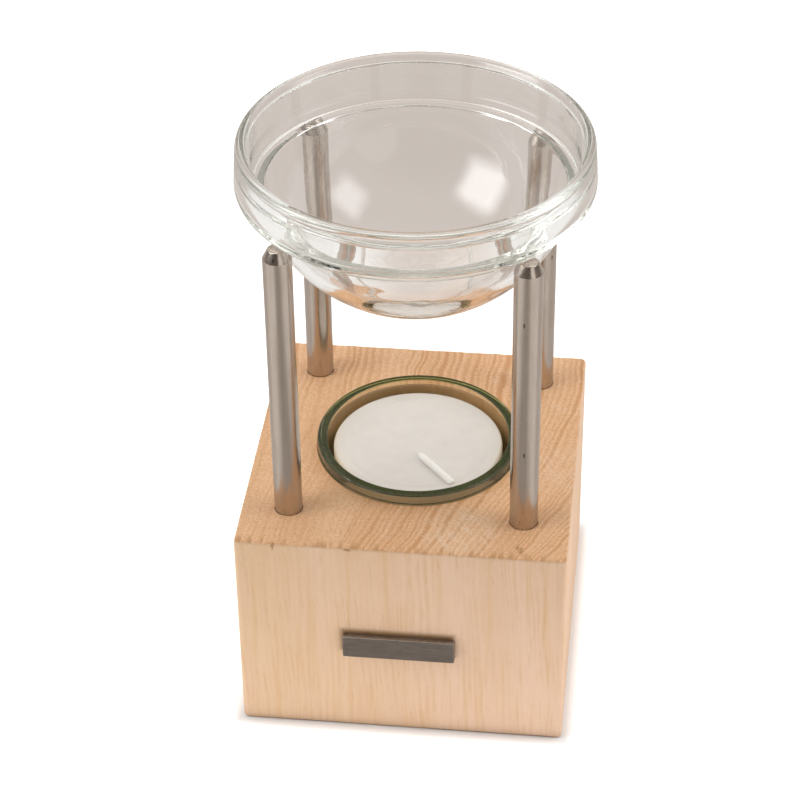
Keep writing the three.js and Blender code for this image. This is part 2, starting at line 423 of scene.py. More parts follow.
def make_wood():
    """Pale maple: growth rings that bow across the top, fuzzy end grain there and long fibres on the sides."""
    material, g = new_material("maple")
    place = g.place()
    at = g.node("SeparateXYZ", {0: place}).outputs

    # Growth rings, a little wavy and leaning along the trunk
    slow = g.stretched(place, 1.0, 1.0, 0.3)
    warp = g.node("TexNoise", {"Vector": slow, "Scale": 0.06, "Detail": 2.0}).outputs["Color"]
    shift = g.vector("MULTIPLY", g.vector("SUBTRACT", warp, (0.5, 0.5, 0.5)), (4.5, 6.0, 0.0))
    parts = g.node("SeparateXYZ", {0: g.vector("ADD", place, shift)}).outputs
    across = g.math("ADD", parts["X"], g.math("MULTIPLY", parts["Z"], RING_LEAN))
    back = g.math("SUBTRACT", parts["Y"], RING_BOW_START)
    bow = g.math("MULTIPLY", g.math("MULTIPLY", back, back), RING_BOW)
    bow = g.math("MULTIPLY", bow, g.math("ADD", g.math("MULTIPLY", across, RING_FAN), 1.0))
    depth = g.math("ADD", across, bow)
    ring = g.math("DIVIDE", depth, RING_WIDTH)
    years = g.node("TexNoise", {"W": ring, "Scale": 0.13, "Detail": 1.5}, noise_dimensions="1D").outputs["Fac"]
    ring = g.math("ADD", ring, g.math("MULTIPLY", years, 5.0))
    saw = g.math("FRACT", ring)
    late = g.math("MULTIPLY", g.spread(saw, 0.05, 0.6), g.spread(saw, 1.0, 0.68))
    which = g.node("TexWhiteNoise", {"W": g.math("FLOOR", ring)}, noise_dimensions="1D").outputs["Value"]
    late = g.math("MULTIPLY", late, g.spread(which, 0.0, 1.0, 0.3, 1.0))
    bands = g.node("TexNoise", {"W": depth, "Scale": 0.11, "Detail": 1.5}, noise_dimensions="1D").outputs["Fac"]

    # Fibres, flecks and soft clouds of the long grain
    fibre = g.noise(g.stretched(place, 1.0, 1.0, 0.06), 1.0, 4.0, 0.6)
    fleck = g.noise(g.stretched(place, 3.6, 3.6, 1.6), 1.0, 2.0, 0.65)
    ray = g.spread(g.noise(g.stretched(place, 1.6, 1.6, 0.2), 1.0, 1.0, 0.5), 0.62, 0.76)
    fade = g.spread(g.noise(g.stretched(place, 0.2, 0.2, 0.1), 1.0, 2.0, 0.6), 0.4, 0.62, 0.1, 1.0)
    cloud = g.noise(g.stretched(place, 0.07, 0.07, 0.04), 1.0, 2.0, 0.5)

    # Pores and fuzz of the end grain
    cells = {"Vector": g.stretched(place, 2.0, 2.0, 1.0), "Scale": 1.0}
    pores = g.node("TexVoronoi", cells, voronoi_dimensions="2D")
    pore = g.spread(pores.outputs["Distance"], 0.38, 0.1)
    fuzz = g.noise(place, 1.9, 3.0, 0.75)
    tuft = g.noise(place, 0.6, 3.0, 0.7)

    # Long grain, yellower on the left and rosier on the right
    long_tone = g.mix(g.spread(at["X"], -34.0, 30.0), colour(0.80, 0.555, 0.35), colour(0.805, 0.56, 0.40))
    long_tone = g.mix(g.spread(bands, 0.34, 0.66, 0.0, 0.5), long_tone, colour(0.755, 0.495, 0.305))
    long_tone = g.mix(g.spread(cloud, 0.4, 0.62, 0.0, 0.5), long_tone, colour(0.815, 0.565, 0.405))
    streak = g.noise(g.stretched(place, 0.5, 0.5, 0.025), 1.0, 3.0, 0.55)
    long_tone = g.mix(g.spread(streak, 0.5, 0.68, 0.0, 0.4), long_tone, colour(0.735, 0.455, 0.225))
    line = g.math("MULTIPLY", g.math("MULTIPLY", late, fade), g.spread(fibre, 0.25, 0.6, 0.4, 1.0))
    long_tone = g.mix(g.math("MULTIPLY", line, 0.52), long_tone, colour(0.67, 0.40, 0.185))
    long_tone = g.mix(g.spread(fibre, 0.46, 0.74, 0.0, 0.15), long_tone, colour(0.64, 0.38, 0.20))
    long_tone = g.mix(g.spread(fleck, 0.5, 0.75, 0.0, 0.2), long_tone, colour(0.64, 0.40, 0.23))
    long_tone = g.mix(g.spread(fleck, 0.46, 0.24, 0.0, 0.24), long_tone, colour(0.89, 0.67, 0.48))
    long_tone = g.mix(g.math("MULTIPLY", ray, 0.18), long_tone, colour(0.58, 0.33, 0.15))

    # Painted shade: brown darkening of the wood along the plate's upper edge, where the plate's shadow falls
    middle = (PLATE_X + PLATE_SHADE_SHIFT[0], 0.0, PLATE_Z + PLATE_SHADE_SHIFT[1])
    beyond = g.vector("ABSOLUTE", g.vector("SUBTRACT", place, middle))
    beyond = g.node("SeparateXYZ", {0: beyond}).outputs
    past_side = g.math("SUBTRACT", beyond["X"], PLATE_WIDTH / 2)
    past_top = g.math("SUBTRACT", beyond["Z"], PLATE_HEIGHT / 2)
    stain_and_shade = g.spread(g.math("MAXIMUM", past_side, past_top), 1.0, -0.7, 0.0, 0.85)
    stain_and_shade = g.math("MULTIPLY", stain_and_shade, g.spread(at["Y"], -36.0, -37.5))
    long_tone = g.mix(stain_and_shade, long_tone, colour(0.27, 0.135, 0.05))

    # End grain, its rings clearest on the right and at the back, with pale saw strokes across them
    end_tone = g.mix(g.spread(bands, 0.34, 0.66), colour(0.845, 0.525, 0.30), colour(0.80, 0.47, 0.255))
    drift = g.math("MULTIPLY", g.noise(place, 0.08, 2.0), 30.0)
    clear = g.spread(g.math("ADD", at["X"], drift), 0.0, 22.0, 0.4, 1.0)
    clear = g.math("MAXIMUM", clear, g.spread(at["Y"], 8.0, 28.0, 0.3, 1.0))
    end_tone = g.mix(g.math("MULTIPLY", late, clear), end_tone, colour(0.63, 0.30, 0.125))
    end_tone = g.mix(g.spread(tuft, 0.45, 0.7, 0.0, 0.35), end_tone, colour(0.62, 0.33, 0.145))
    slant = {"Vector": place, "Angle": math.radians(SAW_ANGLE)}
    slanted = g.node("VectorRotate", slant, rotation_type="Z_AXIS").outputs[0]
    stroke = g.spread(g.noise(g.stretched(slanted, 0.1, 0.9, 0.0), 1.0, 2.0, 0.6), 0.4, 0.64, 0.3, 1.0)
    near = 0.0
    for centre, reach, core, share in SAW_PATCHES:
        near = g.math("MAXIMUM", near, g.spread(g.distance(place, centre), reach, core, 0.0, share))
    worn = g.spread(g.noise(place, 0.3, 3.0, 0.6), 0.34, 0.62, 0.1, 0.6)
    stroke = g.math("MULTIPLY", g.math("MULTIPLY", stroke, near), worn)
    end_tone = g.mix(stroke, end_tone, colour(0.90, 0.71, 0.53))
    pale = g.spread(g.noise(place, 0.16, 3.0, 0.6), 0.55, 0.75, 0.0, 0.35)
    end_tone = g.mix(pale, end_tone, colour(0.86, 0.63, 0.42))
    end_tone = g.mix(g.spread(fuzz, 0.5, 0.7, 0.0, 0.7), end_tone, colour(0.54, 0.275, 0.11))
    end_tone = g.mix(g.spread(fuzz, 0.47, 0.28, 0.0, 0.7), end_tone, colour(0.93, 0.70, 0.48))
    end_tone = g.mix(g.math("MULTIPLY", pore, 0.2), end_tone, colour(0.45, 0.24, 0.105))

    # Torn fibre ends along the front of the top
    tear = g.noise(g.stretched(place, 0.85, 0.12, 0.1), 1.0, 2.0, 0.6)
    rim = g.spread(at["Y"], -34.6, -37.2)
    end_tone = g.mix(g.math("MULTIPLY", g.spread(tear, 0.45, 0.62), rim), end_tone, colour(0.58, 0.31, 0.14))

    end_share = g.spread(g.math("ABSOLUTE", g.upward()), 0.55, 0.9)
    tone = g.mix(end_share, long_tone, end_tone)

    # Small brown marks on the front edge, and painted shade over the plate at its pins
    jagged = g.math("MULTIPLY", g.noise(place, 1.4, 3.0, 0.7), 3.0)
    for centre, size in WOOD_MARKS:
        reach = g.vector("DIVIDE", g.vector("SUBTRACT", place, centre), size)
        reach = g.math("ADD", g.node("VectorMath", {0: reach}, operation="LENGTH").outputs["Value"], jagged)
        tone = g.mix(g.spread(reach, 2.6, 2.0, 0.0, 0.7), tone, colour(0.36, 0.17, 0.065))

    rough = g.spread(fibre, 0.3, 0.7, 0.5, 0.62)
    long_height = g.math("ADD", fibre, g.math("MULTIPLY", fleck, 0.5))
    end_height = g.math("ADD", fuzz, g.math("MULTIPLY", tuft, 0.8))
    end_height = g.math("SUBTRACT", end_height, g.math("MULTIPLY", pore, 0.5))
    height = g.node("Mix", {0: end_share, 2: long_height, 3: end_height}, data_type="FLOAT").outputs[0]
    inputs = {
        "Base Color": tone,
        "Roughness": rough,
        "Specular IOR Level": 0.35,
        "Normal": g.bump(height, 0.0002, 0.6),
    }
    finish_material(g, g.node("BsdfPrincipled", inputs).outputs[0])
    return material


def make_steel():
    """Satin drawn steel: fine streaks along the rod, faint stains and a few dark specks."""
    material, g = new_material("rod_steel")
    place = g.place()
    streak = g.noise(g.stretched(place, 4.5, 4.5, 0.03), 1.0, 3.0, 0.6)
    stain_and_shade = g.noise(g.stretched(place, 0.7, 0.7, 0.09), 1.0, 3.0, 0.6)
    fine = g.noise(g.stretched(place, 6.0, 6.0, 3.0), 1.0, 2.0, 0.6)
    worn = g.spread(g.noise(g.stretched(place, 0.2, 0.2, 0.07), 1.0, 2.0, 0.5), 0.5, 0.66)
    pitted = g.math("MULTIPLY", g.spread(fine, 0.56, 0.7), g.math("ADD", g.math("MULTIPLY", worn, 0.8), 0.2))
    cells = g.node("TexVoronoi", {"Vector": g.stretched(place, 0.4, 0.4, 0.16), "Scale": 1.0})
    speck = g.spread(cells.outputs["Distance"], 0.13, 0.06)
    chosen = g.node("SeparateColor", {0: cells.outputs["Color"]}).outputs["Red"]
    speck = g.math("MULTIPLY", speck, g.spread(chosen, 0.74, 0.8))
    tone = g.mix(g.spread(stain_and_shade, 0.35, 0.7), colour(0.54, 0.48, 0.43), colour(0.485, 0.425, 0.375))
    tone = g.mix(g.spread(streak, 0.35, 0.75, 0.0, 0.25), tone, colour(0.63, 0.575, 0.52))
    tone = g.mix(g.math("MULTIPLY", pitted, 0.45), tone, colour(0.26, 0.215, 0.18))
    tone = g.mix(g.math("MULTIPLY", speck, 0.8), tone, colour(0.10, 0.08, 0.065))
    rough = g.math("ADD", g.spread(stain_and_shade, 0.3, 0.75, 0.17, 0.25), g.math("MULTIPLY", fine, 0.06))
    height = g.math("ADD", streak, g.math("MULTIPLY", fine, 0.3))
    inputs = {"Base Color": tone, "Metallic": 1.0, "Roughness": rough, "Normal": g.bump(height, 0.000015, 0.4)}
    finish_material(g, g.node("BsdfPrincipled", inputs).outputs[0])
    return material


def make_glass(name, tint, clearness, shade, absorbed, density, edge=None):
    """Pressed glass with a faintly uneven surface; lamps shine through it and it darkens with its depth.

    edge, where given, is a tint for the faces that look up, as on a rim: painted light, standing in for the
    light that the glass carries along its walls.
    """
    material, g = new_material(name)
    place = g.place()
    wave = g.noise(place, 0.16, 2.0, 0.5)
    smear = g.noise(place, 0.22, 3.0, 0.6)
    # Painted light on the rim: faces that look up take the edge tint
    if edge is not None:
        tint = g.mix(g.spread(g.upward(), 0.3, 0.8), tint, edge)
    inputs = {
        "Base Color": tint,
        "Roughness": g.spread(smear, 0.45, 0.75, 0.0, 0.03),
        "IOR": 1.5,
        "Transmission Weight": clearness,
        "Normal": g.bump(wave, 0.00012, 0.35),
    }
    glass = g.node("BsdfPrincipled", inputs).outputs[0]
    lets_through = g.node("BsdfTransparent", {"Color": shade}).outputs[0]
    shadow = g.node("LightPath").outputs["Is Shadow Ray"]
    shader = g.node("MixShader", {0: shadow, 1: glass, 2: lets_through}).outputs[0]
    volume = g.node("VolumeAbsorption", {"Color": absorbed, "Density": density}).outputs[0]
    finish_material(g, shader, volume)
    return material


def make_clear_glass():
    return make_glass(
        "clear_glass",
        tint=colour(1.0, 1.0, 1.0),
        clearness=1.0,
        shade=colour(0.90, 0.91, 0.90),
        absorbed=colour(0.52, 0.60, 0.50),
        density=6.0,
    )


def make_green_glass():
    # Its diffuse share, left by a clearness under 1, and its green edge tint are painted light for the light
    # carried along the glass walls
    return make_glass(
        "green_glass",
        tint=colour(0.99, 0.82, 0.72),
        clearness=0.945,
        shade=colour(0.76, 0.64, 0.52),
        absorbed=colour(0.31, 0.75, 0.02),
        density=76.0,
        edge=colour(0.69, 0.765, 0.34),
    )


def make_wax():
    """Pressed tealight wax: pale, a little translucent, with cloudy patches."""
    material, g = new_material("wax")
    place = g.place()
    cloud = g.noise(place, 0.13, 3.0, 0.55)
    grain = g.noise(place, 1.6, 3.0, 0.6)
    tone = g.mix(g.spread(cloud, 0.35, 0.7), colour(0.77, 0.72, 0.66), colour(0.725, 0.675, 0.62))
    tone = g.mix(g.spread(grain, 0.5, 0.8, 0.0, 0.12), tone, colour(0.66, 0.61, 0.55))
    inputs = {
        "Base Color": tone,
        "Roughness": g.spread(cloud, 0.3, 0.7, 0.36, 0.5),
        "Subsurface Weight": 0.35,
        "Subsurface Radius": (1.0, 0.8, 0.6),
        "Subsurface Scale": 0.004,
        "Normal": g.bump(grain, 0.00005, 0.4),
    }
    finish_material(g, g.node("BsdfPrincipled", inputs).outputs[0])
    return material


def make_wick():
    """Braided cotton, soaked with wax."""
    material, g = new_material("wick_cotton")
    place = g.place()
    thread = g.noise(place, 4.0, 3.0, 0.6)
    tone = g.mix(g.spread(thread, 0.35, 0.7), colour(0.92, 0.885, 0.825), colour(0.87, 0.83, 0.765))
    inputs = {
        "Base Color": tone,
        "Roughness": g.spread(thread, 0.3, 0.7, 0.55, 0.75),
        "Subsurface Weight": 0.15,
        "Subsurface Radius": (1.0, 0.8, 0.6),
        "Subsurface Scale": 0.001,
        "Normal": g.bump(thread, 0.00006, 0.6),
    }
    finish_material(g, g.node("BsdfPrincipled", inputs).outputs[0])
    return material


def make_tin():
    """Tinned sheet with a faint crystal pattern."""
    material, g = new_material("tin_plate")
    place = g.place()
    cells = g.node("TexVoronoi", {"Vector": place, "Scale": 0.9}).outputs["Color"]
    flake = g.node("SeparateColor", {0: cells}).outputs["Red"]
    tone = g.mix(flake, colour(0.62, 0.61, 0.58), colour(0.50, 0.49, 0.47))
    inputs = {
        "Base Color": tone,
        "Metallic": 1.0,
        "Roughness": g.spread(flake, 0.0, 1.0, 0.28, 0.45),
        "Normal": g.bump(flake, 0.00001, 0.3),
    }
    finish_material(g, g.node("BsdfPrincipled", inputs).outputs[0])
    return material


def make_pewter():
    """Dark cast pewter, rubbed brighter along its edges."""
    material, g = new_material("pewter")
    place = g.place()
    grain = g.noise(place, 1.7, 3.0, 0.6)
    blotch = g.noise(g.stretched(place, 0.3, 1.0, 1.6), 1.0, 3.0, 0.6)
    from_middle = g.vector("ABSOLUTE", g.vector("SUBTRACT", place, (PLATE_X, 0.0, PLATE_Z)))
    parts = g.node("SeparateXYZ", {0: from_middle})
    side = g.math("SUBTRACT", PLATE_WIDTH / 2, parts.outputs["X"])
    edge = g.math("MINIMUM", side, g.math("SUBTRACT", PLATE_HEIGHT / 2, parts.outputs["Z"]))
    rubbed = g.math("MULTIPLY", g.spread(edge, 0.55, 0.15), g.spread(grain, 0.3, 0.65))
    tone = g.mix(g.spread(blotch, 0.35, 0.7), colour(0.335, 0.302, 0.274), colour(0.285, 0.257, 0.231))
    tone = g.mix(g.math("MULTIPLY", rubbed, 0.5), tone, colour(0.42, 0.385, 0.35))
    inputs = {
        "Base Color": tone,
        "Metallic": 1.0,
        "Roughness": g.spread(grain, 0.3, 0.7, 0.34, 0.5),
        "Normal": g.bump(grain, 0.00006, 0.5),
    }
    finish_material(g, g.node("BsdfPrincipled", inputs).outputs[0])
    return material


# Pieces


def block_outline(spacing):
    """Points round the block, anticlockwise from above, as (x, y, outward x, outward y)."""
    right = BLOCK_HALF_WIDTH - BLOCK_CORNER
    front = BLOCK_FRONT + BLOCK_CORNER
    back = BLOCK_BACK - BLOCK_CORNER
    corners = [(right, front, -90), (right, back, 0), (-right, back, 90), (-right, front, 180)]
    steps = 5
    points = []
    for k, (cx, cy, start) in enumerate(corners):
        for step in range(steps + 1):
            angle = math.radians(start + 90 * step / steps)
            nx, ny = math.cos(angle), math.sin(angle)
            points.append((cx + BLOCK_CORNER * nx, cy + BLOCK_CORNER * ny, nx, ny))
        x0, y0, nx, ny = points[-1]
        ncx, ncy, nstart = corners[(k + 1) % 4]
        nangle = math.radians(nstart)
        x1 = ncx + BLOCK_CORNER * math.cos(nangle)
        y1 = ncy + BLOCK_CORNER * math.sin(nangle)
        count = round(math.hypot(x1 - x0, y1 - y0) / spacing)
        for step in range(1, count):
            share = step / count
            points.append((x0 + (x1 - x0) * share, y0 + (y1 - y0) * share, nx, ny))
    return points


def edge_size(x, y, height):
    """Sanded edge: its easing wanders a little and has small nicks on the front."""
    wander = noise.noise(Vector((x * 0.22, y * 0.22, height)))
    fine = noise.noise(Vector((x * 1.1, y * 1.1, height + 7.0)))
    size = BLOCK_EDGE * (0.82 + 0.22 * wander + 0.12 * fine)
    if height > BLOCK_TOP / 2 and y < BLOCK_FRONT + BLOCK_CORNER:
        for nick_x, width, depth in BLOCK_NICKS:
            size += depth * math.exp(-(((x - nick_x) / width) ** 2))
    return min(size, BLOCK_EDGE_LIMIT)


def add_block(material):
    outline = block_outline(BLOCK_SPACING)
    work = bmesh.new()

    def vert(x, y, z):
        return work.verts.new((x, y, z))

    def edge_ring(level, upward, steps=5):
        rings = []
        for step in range(steps + 1):
            angle = math.pi / 2 * step / steps
            ring = []
            for x, y, nx, ny in outline:
                size = edge_size(x, y, level)
                inset = size * (1 - math.cos(angle))
                rise = size * (1 - math.sin(angle))
                z = level - rise if upward else level + rise
                ring.append(vert(x - nx * inset, y - ny * inset, z))
            rings.append(ring)
        return rings

    def stitch(lower, upper):
        count = len(lower)
        for k in range(count):
            work.faces.new((lower[k], lower[(k + 1) % count], upper[(k + 1) % count], upper[k]))

    def circle(cx, cy, radius, z, segments):
        turn = 2 * math.pi / segments
        angles = [k * turn for k in range(segments)]
        return [vert(cx + radius * math.cos(angle), cy + radius * math.sin(angle), z) for angle in angles]

    def fill(*loops):
        edges = []
        for loop in loops:
            for k, v in enumerate(loop):
                pair = (v, loop[(k + 1) % len(loop)])
                edges.append(work.edges.get(pair) or work.edges.new(pair))
        bmesh.ops.triangle_fill(work, use_beauty=True, use_dissolve=False, edges=edges)

    def well(rings):
        """Blind hole from its mouth down to its floor."""
        for upper, lower in zip(rings, rings[1:]):
            stitch(upper, lower)
        work.faces.new(rings[-1])

    top = edge_ring(BLOCK_TOP, True)
    bottom = edge_ring(0.0, False)
    for rings in (top, bottom):
        for lower, upper in zip(rings, rings[1:]):
            stitch(lower, upper)

    mouth = circle(0, 0, BORE_RADIUS + BORE_CHAMFER, BLOCK_TOP, segments=128)
    well([
        mouth,
        circle(0, 0, BORE_RADIUS, BLOCK_TOP - BORE_CHAMFER, segments=128),
        circle(0, 0, BORE_RADIUS, BORE_FLOOR, segments=128),
    ])
    sockets = []
    for x, y in ROD_PLACES.values():
        sockets.append(circle(x, y, SOCKET_RADIUS, BLOCK_TOP, segments=48))
        well([
            sockets[-1],
            circle(x, y, SOCKET_RADIUS, SOCKET_FLOOR, segments=48),
        ])
    fill(top[-1], mouth, *sockets)
    work.faces.new(bottom[-1])

    # Walls; the front one has the two pin holes
    on_front = [k for k, point in enumerate(outline) if point[3] < -0.999]
    run = sorted(on_front, key=lambda k: outline[k][0])
    front_set = set(on_front)
    count = len(outline)
    low, high = bottom[0], top[0]
    for k in range(count):
        after = (k + 1) % count
        if not (k in front_set and after in front_set):
            work.faces.new((low[k], low[after], high[after], high[k]))
    holes = []
    for offset in (-PIN_SPACING / 2, PIN_SPACING / 2):
        rings = []
        for y in (BLOCK_FRONT, BLOCK_FRONT + PIN_HOLE_DEPTH):
            ring = []
            for x, z in arc(PLATE_X + offset, PLATE_Z, PIN_HOLE_RADIUS, 0, 360, PIN_SEGMENTS)[:-1]:
                ring.append(vert(x, y, z))
            rings.append(ring)
        holes.append(rings[0])
        well(rings)
    fill([low[k] for k in run] + [high[k] for k in reversed(run)], *holes)

    verts, faces = taken_apart(work)
    add_piece("maple_block", verts, faces, material, "base", "wood_block", sharp=28.0)


def add_rods(material):
    profile = softened([
        (0.0, SOCKET_FLOOR, 0),
        (ROD_RADIUS - ROD_FOOT_CHAMFER, SOCKET_FLOOR, 0),
        (ROD_RADIUS, SOCKET_FLOOR + ROD_FOOT_CHAMFER, 0),
        (ROD_RADIUS, ROD_TOP - ROD_TIP_LENGTH, ROD_SHOULDER_ROUND),
        (ROD_TIP_RADIUS, ROD_TOP, ROD_TIP_ROUND),
        (0.0, ROD_TOP, 0),
    ])
    for node, place in ROD_PLACES.items():
        verts, faces = lathe(profile, segments=72, place=place)
        add_piece("steel_" + node, verts, faces, material, "base", node, sharp=40.0)


def body_outline(inset, low, high, steps):
    """Round outline of the bowl's body between two heights."""
    depth = BODY_DEPTH - inset
    start = math.asin((low - BODY_CENTRE) / depth)
    end = math.asin((high - BODY_CENTRE) / depth)
    points = []
    for step in range(steps + 1):
        angle = start + (end - start) * step / steps
        points.append(((BODY_RADIUS - inset) * math.cos(angle), BODY_CENTRE + depth * math.sin(angle)))
    return points


def add_bowl(material):
    outside = body_outline(0.0, FOOT_START, BODY_TOP, steps=44)
    well = body_outline(BOWL_WALL, LEDGE_HEIGHT - LEDGE_ROUND / 2, BOWL_FLOOR + FLOOR_START, steps=44)
    floor_r = well[-1][0] - FLOOR_INSET
    foot_r = outside[0][0] - FOOT_INSET
    shoulder_r = BAND_RADIUS - SHOULDER_RADIUS
    shoulder_z = BAND_BOTTOM + SHOULDER_RADIUS
    profile = [(0.0, 0.0), (foot_r / 2, 0.0)]
    profile += fillet((0.0, 0.0), (foot_r + FOOT_REACH, 0.0), outside[0], FOOT_ROUND, steps=6)
    profile += outside
    profile += arc(shoulder_r, shoulder_z, SHOULDER_RADIUS, -90, 0, steps=14)
    profile += [(BAND_TOP_RADIUS + BAND_BULGE, (shoulder_z + BAND_TOP) / 2)]
    profile += fillet((BAND_RADIUS, shoulder_z), (BAND_TOP_RADIUS, BAND_TOP), BEAD_FOOT, BAND_TOP_ROUND)
    profile += arc(BEAD_CENTRE, BEAD_HEIGHT, BEAD_RADIUS, -60, 180, steps=28)
    profile += [BAND_INSIDE]
    profile += arc(LEDGE_RADIUS - LEDGE_ROUND, LEDGE_HEIGHT + LEDGE_ROUND, LEDGE_ROUND, 0, -90, steps=8)
    profile += [(well[0][0] + LEDGE_ROUND / 2, LEDGE_HEIGHT)]
    profile += well
    profile += [(floor_r + out, BOWL_FLOOR + rise) for out, rise in FLOOR_EASE]
    profile += [(floor_r / 2, BOWL_FLOOR), (0.0, BOWL_FLOOR)]
    profile = [(r, z + BOWL_BOTTOM) for r, z in profile]

    def pressed(r, z, angle):
        """The mould leaves the walls very slightly uneven."""
        at = Vector((math.cos(angle) * 2.2, math.sin(angle) * 2.2, z * 0.16 + r * 0.4))
        return r - MOULD_WANDER * (0.5 + 0.5 * noise.noise(at)) * min(1.0, r / 12.0), z

    verts, faces = lathe(profile, segments=192, shape=pressed)
    add_piece("clear_bowl", verts, faces, material, "bowl", "glass_bowl", sharp=50.0)


def add_tealight_glass(material):
    """Straight cup with a fine groove round it, just above the wood."""
    inner = CUP_RADIUS - CUP_WALL
    radius = (GROOVE_HALF**2 + GROOVE_DEPTH**2) / (2 * GROOVE_DEPTH)
    swing = math.degrees(math.asin(GROOVE_HALF / radius))
    foot = softened([
        (0.0, BORE_FLOOR, 0),
        (CUP_RADIUS, BORE_FLOOR, CUP_FOOT_ROUND),
        (CUP_RADIUS, CUP_GROOVE, 0),
    ])
    lip = softened([
        (CUP_RADIUS, CUP_GROOVE, 0),
        (CUP_RADIUS, CUP_RIM, CUP_RIM_OUTER_ROUND),
        (inner, CUP_RIM, CUP_RIM_INNER_ROUND),
        (inner, CUP_FLOOR, CUP_FLOOR_ROUND),
        (0.0, CUP_FLOOR, 0),
    ])
    groove_r = CUP_RADIUS + radius - GROOVE_DEPTH
    groove = arc(groove_r, CUP_GROOVE, radius, 180 + swing, 180 - swing, steps=12)
    verts, faces = lathe(foot[:-1] + groove + lip[1:], segments=160)
    node = "tealight_glass"
    add_piece("green_cup", verts, faces, material, "tealight_holder", node, sharp=30.0)


def add_wax(material):
    wick_start = Vector(WICK_PATH[4][:2])
    wick_way = Vector(WICK_PATH[-1][:2]) - wick_start
    flat = WAX_RADIUS - WAX_ROUND
    neck_r, neck_top = NECK_SPACE
    disc_r, disc_top = DISC_SPACE
    profile = [(0.0, neck_top), (neck_r, neck_top), (neck_r, disc_top), (disc_r, disc_top), (disc_r, CUP_FLOOR)]
    profile += arc(WAX_RADIUS - WAX_FOOT_ROUND, CUP_FLOOR + WAX_FOOT_ROUND, WAX_FOOT_ROUND, -90, 0, steps=5)
    profile += arc(flat, WAX_TOP - WAX_ROUND, WAX_ROUND, 0, 90, steps=8)
    profile += [(flat * (1 - step / WAX_RINGS), WAX_TOP) for step in range(1, WAX_RINGS)]
    profile += [(0.0, WAX_TOP - WAX_SINK - WAX_DISH)]

    def cast(r, z, angle):
        """Shallow dish, a faint ring from the mould and wax drawn up round the wick."""
        if z < WAX_TOP - 0.01:
            return r, z
        x, y = r * math.cos(angle), r * math.sin(angle)
        dish = WAX_DISH * (1 - (r / flat) ** 2)
        ring = MOULD_RING_DEPTH * math.exp(-(((r - MOULD_RING_RADIUS) / MOULD_RING_WIDTH) ** 2))
        rough = WAX_UNEVEN * noise.noise(Vector((x * 0.3, y * 0.3, 3.0)))
        dx, dy = x - wick_start.x, y - wick_start.y
        along = (dx * wick_way.x + dy * wick_way.y) / wick_way.length_squared
        along = max(0.0, min(1.0, along))
        beside = math.hypot(dx - wick_way.x * along, dy - wick_way.y * along)
        drawn = DRAWN_HEIGHT * math.exp(-((beside / DRAWN_REACH) ** 2))
        return r, min(z, z - dish - ring - WAX_SINK + rough + drawn)

    verts, faces = lathe(profile, segments=180, shape=cast)
    add_piece("wax_refill", verts, faces, material, "candle", "tealight_wax", sharp=50.0)


def smooth_path(points, steps):
    """Smooth curve through the points."""
    first = tuple(2 * a - b for a, b in zip(points[0], points[1]))
    last = tuple(2 * a - b for a, b in zip(points[-1], points[-2]))
    knots = [Vector(p) for p in (first, *points, last)]
    curve = []
    for k in range(1, len(knots) - 2):
        a, b, c, d = knots[k - 1 : k + 3]
        bend = 2 * a - 5 * b + 4 * c - d
        twist = 3 * b - a - 3 * c + d
        for step in range(steps):
            t = step / steps
            curve.append(0.5 * (2 * b + (c - a) * t + bend * t**2 + twist * t**3))
    curve.append(knots[-2])
    return curve


def add_wick(material):
    """Flat braided thread along its path, drawn in a little at the free end."""
    curve = smooth_path(WICK_PATH, WICK_STEPS)
    last = len(curve) - 1
    up = Vector((0.0, 0.0, 1.0))
    frames = []
    for k in reversed(range(len(curve))):
        along = (curve[min(k + 1, last)] - curve[max(k - 1, 0)]).normalized()
        up = (up - along * up.dot(along)).normalized()
        frames.append((curve[k], along.cross(up), up.copy()))
    frames.reverse()

    lengths = [0.0] + [(b - a).length for a, b in zip(curve, curve[1:])]
    whole = sum(lengths)
    travelled = 0.0
    verts, faces = [], []
    for length, (centre, across, lift) in zip(lengths, frames):
        travelled += length
        left = min(1.0, max(whole - travelled, 0.0) / WICK_TIP)
        close = WICK_TIP_SHARE + (1 - WICK_TIP_SHARE) * math.sqrt(left)
        for side in range(WICK_SIDES):
            angle = 2 * math.pi * side / WICK_SIDES
            strand, turn = BRAID_STRANDS * angle, BRAID_PITCH * travelled
            braid = max(math.cos(strand + turn), math.cos(strand - turn))
            swell = close * (1 - BRAID_DEPTH + BRAID_DEPTH * braid)
            sideways = across * (WICK_WIDTH * swell * math.cos(angle))
            upward = lift * (WICK_DEPTH * swell * math.sin(angle))
            verts.append(tuple(centre + sideways + upward))
    for row in range(last):
        here, there = row * WICK_SIDES, (row + 1) * WICK_SIDES
        for side in range(WICK_SIDES):
            after = (side + 1) % WICK_SIDES
            faces.append((here + side, here + after, there + after, there + side))
    for row in (0, last):
        verts.append(tuple(curve[row]))
        here = row * WICK_SIDES
        for side in range(WICK_SIDES):
            faces.append((len(verts) - 1, here + side, here + (side + 1) % WICK_SIDES))
    add_piece("cotton_wick", verts, faces, material, "candle", "wick", sharp=70.0)


